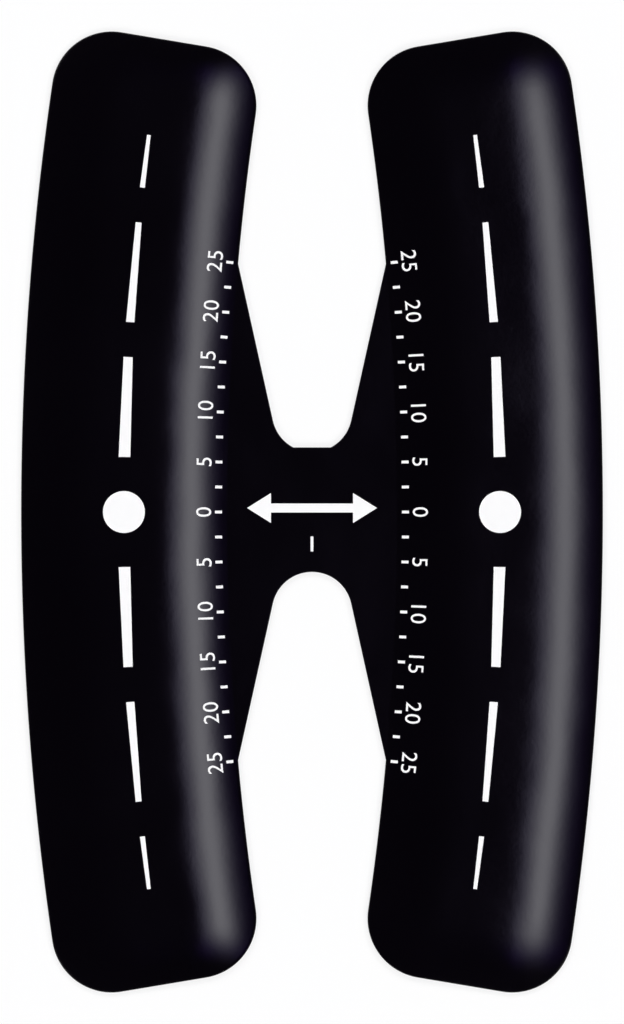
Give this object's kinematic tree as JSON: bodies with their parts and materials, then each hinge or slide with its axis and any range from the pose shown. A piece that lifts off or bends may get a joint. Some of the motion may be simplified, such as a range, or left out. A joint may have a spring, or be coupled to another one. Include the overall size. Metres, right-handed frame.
{
  "type": "wheel balance weight",
  "caption": "Flat H-shaped stick-on wheel balance weight: arc-shaped domed pads on either side of a thin waisted web, with a dot and dashes printed along each pad.",
  "frame": {"origin": "middle of the flat back, which is the object's lower surface as it lies", "axes": "+Y along the pads' length, which follows the rim; +X across from pad to pad; +Z out of the printed face"},
  "size_m": [0.0582, 0.0962, 0.0014],
  "materials": {
    "elastomer": "gloss, very finely pebbled black elastomer",
    "print": "matt white ink"
  },
  "bodies": {
    "root": {"weight_body": "elastomer", "printed_marks": "print"}
  },
  "joints": []
}
